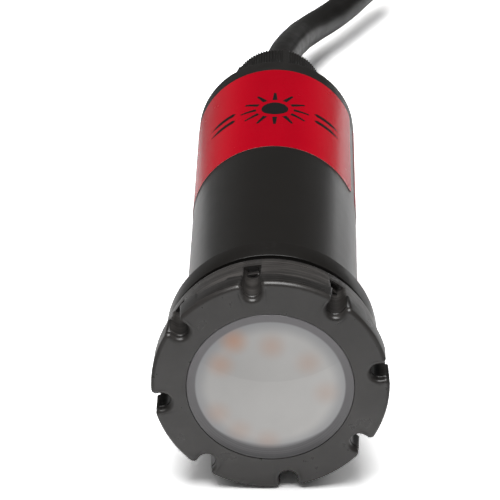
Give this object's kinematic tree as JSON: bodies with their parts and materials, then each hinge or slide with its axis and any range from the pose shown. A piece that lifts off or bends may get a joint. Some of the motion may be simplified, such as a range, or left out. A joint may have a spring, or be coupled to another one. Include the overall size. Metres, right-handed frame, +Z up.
{
  "type": "underwater light",
  "caption": "Tubular underwater pond light with a frosted lens held by a notched screw ring, a coloured wrap label and a rear cable gland with cord.",
  "frame": {"origin": "middle of the lens's front face, on the light's axis", "axes": "+Y along the light's axis from the lens towards the cord, so the lens looks towards -Y; +Z up; +X to the right as the lens is faced"},
  "size_m": [0.0809, 0.3335, 0.0666],
  "materials": {
    "black_plastic": "satin moulded black plastic",
    "gland_plastic": "dull moulded black nylon",
    "cord_rubber": "semi-gloss black cord jacket",
    "seal_rubber": "dull black seal",
    "frosted_lens": "frosted, milky",
    "silicone": "pale silicone",
    "white_plastic": "plain white",
    "red_label": "smooth printed film",
    "aluminium": "plain cast",
    "white_board": "white solder mask on aluminium",
    "green_board": "green solder mask",
    "led_amber": "amber phosphor",
    "led_pale": "pale yellow phosphor",
    "steel": "stainless",
    "copper": "copper wire",
    "thermal_grey": "soft pad",
    "dark_package": "moulded component body",
    "terminal_green": "green connector plastic",
    "disc_blue": "dipped blue lacquer",
    "fuse_glass": "clear tube",
    "black_insulation": "wire insulation",
    "white_insulation": "wire insulation",
    "green_insulation": "wire insulation",
    "red_insulation": "wire insulation"
  },
  "bodies": {
    "light_body": {"lens": "frosted_lens", "lens_gasket": "silicone", "housing": "black_plastic", "ring_gasket": "seal_rubber", "rear_cap": "black_plastic", "cap_o_ring": "seal_rubber", "label": "red_label", "gland_body": "gland_plastic", "gland_lock_nut": "gland_plastic", "gland_flange_seal": "seal_rubber", "gland_bush": "seal_rubber", "cord_jacket": "cord_rubber", "conductor_line": "black_insulation", "conductor_neutral": "white_insulation", "conductor_earth": "green_insulation", "copper_line": "copper", "copper_neutral": "copper", "copper_earth": "copper", "light_baffle": "white_plastic", "led_board": "white_board", "led_1": "led_amber", "led_2": "led_pale", "led_3": "led_amber", "led_4": "led_amber", "led_5": "led_amber", "led_6": "led_pale", "led_7": "led_amber", "led_8": "led_amber", "led_9": "led_amber", "led_10": "led_pale", "led_11": "led_amber", "led_12": "led_amber", "thermal_pad": "thermal_grey", "heat_sink": "aluminium", "board_screw_1": "steel", "board_screw_2": "steel", "board_screw_3": "steel", "driver_cradle": "white_plastic", "driver_board": "green_board", "terminal_block": "terminal_green", "lead_socket": "white_plastic", "lead_positive": "red_insulation", "lead_negative": "black_insulation", "storage_capacitor_1": "dark_package", "storage_capacitor_2": "dark_package", "driver_chip": "dark_package", "choke_coil": "copper", "bridge_rectifier": "dark_package", "surge_disc": "disc_blue", "input_fuse": "fuse_glass"},
    "ring_carrier": {"slip_washer": "white_plastic"},
    "screw_ring": {"face_ring": "black_plastic"},
    "gland_carrier": {"gland_thrust_washer": "white_plastic"},
    "grip_nut": {"gland_nut": "gland_plastic"}
  },
  "joints": [
    {"name": "ring_advance", "type": "slide", "parent": "light_body", "child": "ring_carrier", "axis": [0, -1, 0], "range_m": [0, 0.009]},
    {"name": "ring_turn", "type": "hinge", "parent": "ring_carrier", "child": "screw_ring", "pos_m": [0, 0, 0], "axis": [0, -1, 0], "range_deg": [0, 1080]},
    {"name": "gland_advance", "type": "slide", "parent": "light_body", "child": "gland_carrier", "axis": [0, 1, 0], "range_m": [0, 0.0075]},
    {"name": "gland_turn", "type": "hinge", "parent": "gland_carrier", "child": "grip_nut", "pos_m": [0, 0.18, 0], "axis": [0, 1, 0], "range_deg": [0, 1800]}
  ],
  "couplings": [
    {"joint": "ring_advance", "follows": "ring_turn", "m_per_rad": 0.00047746},
    {"joint": "gland_advance", "follows": "gland_turn", "m_per_rad": 0.00023873}
  ]
}
